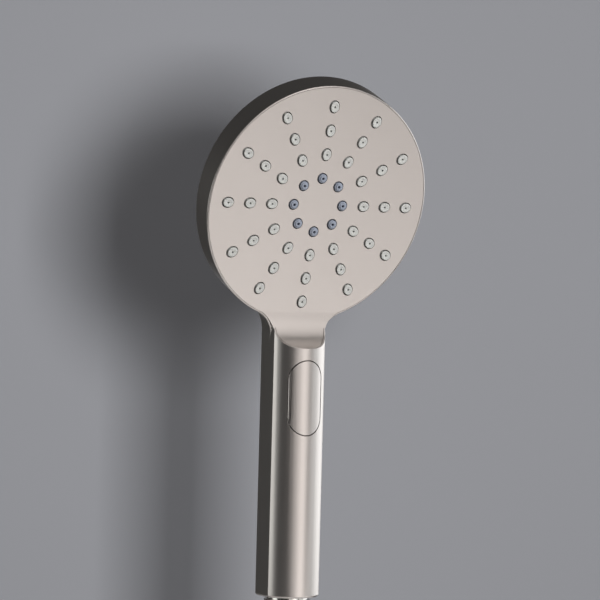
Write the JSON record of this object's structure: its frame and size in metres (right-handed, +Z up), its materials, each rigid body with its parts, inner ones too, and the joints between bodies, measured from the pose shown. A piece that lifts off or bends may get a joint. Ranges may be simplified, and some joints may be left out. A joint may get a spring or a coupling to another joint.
{
  "type": "hand shower",
  "caption": "Hand shower with a round tilted spray head, silicone nozzles, a scooped neck, a push button that changes the spray, and a threaded inlet under a flat-sided handle.",
  "frame": {"origin": "on the inlet's axis, at the shoulder where its thread meets the neck", "axes": "+Z up the handle's axis, the spray face and the push button look along -Y, +X to the right seen from the front"},
  "size_m": [0.11, 0.0496, 0.2483],
  "materials": {
    "satin_nickel": "warm satin nickel plating with a faint fine grain",
    "pale_silicone": "soft milky silicone",
    "blue_silicone": "soft blue-grey silicone",
    "white_moulding": "plain natural moulding",
    "black_seal": "matt black seal rubber",
    "spring_steel": "drawn spring wire",
    "chrome_brass": "bright plated brass thread"
  },
  "bodies": {
    "shower": {"body_shell": "satin_nickel", "face_plate": "satin_nickel", "rain_nozzle_mat": "pale_silicone", "jet_nozzle_mat": "blue_silicone", "spray_divider": "white_moulding", "feed_channel": "white_moulding", "feed_gaskets": "black_seal", "diverter_housing": "white_moulding", "valve_cap": "white_moulding", "plunger_seal": "black_seal", "return_spring": "spring_steel", "supply_tube": "white_moulding", "supply_seal": "black_seal", "inlet_connector": "chrome_brass", "inlet_seal": "black_seal", "flow_regulator": "white_moulding", "filter_screen": "white_moulding"},
    "push_button": {"button": "satin_nickel", "plunger": "white_moulding"},
    "spray_rotor": {"diverter_rotor": "white_moulding"}
  },
  "joints": [
    {"name": "button_press", "type": "slide", "parent": "shower", "child": "push_button", "axis": [0, 1, 0], "range_m": [0, 0.0024], "stiffness_N_per_m": 1500, "springref_m": -0.003, "deforming": ["return_spring"]},
    {"name": "rotor_turn", "type": "hinge", "parent": "shower", "child": "spray_rotor", "pos_m": [0, 0, 0.092], "axis": [0, 1, 0], "continuous": true}
  ]
}
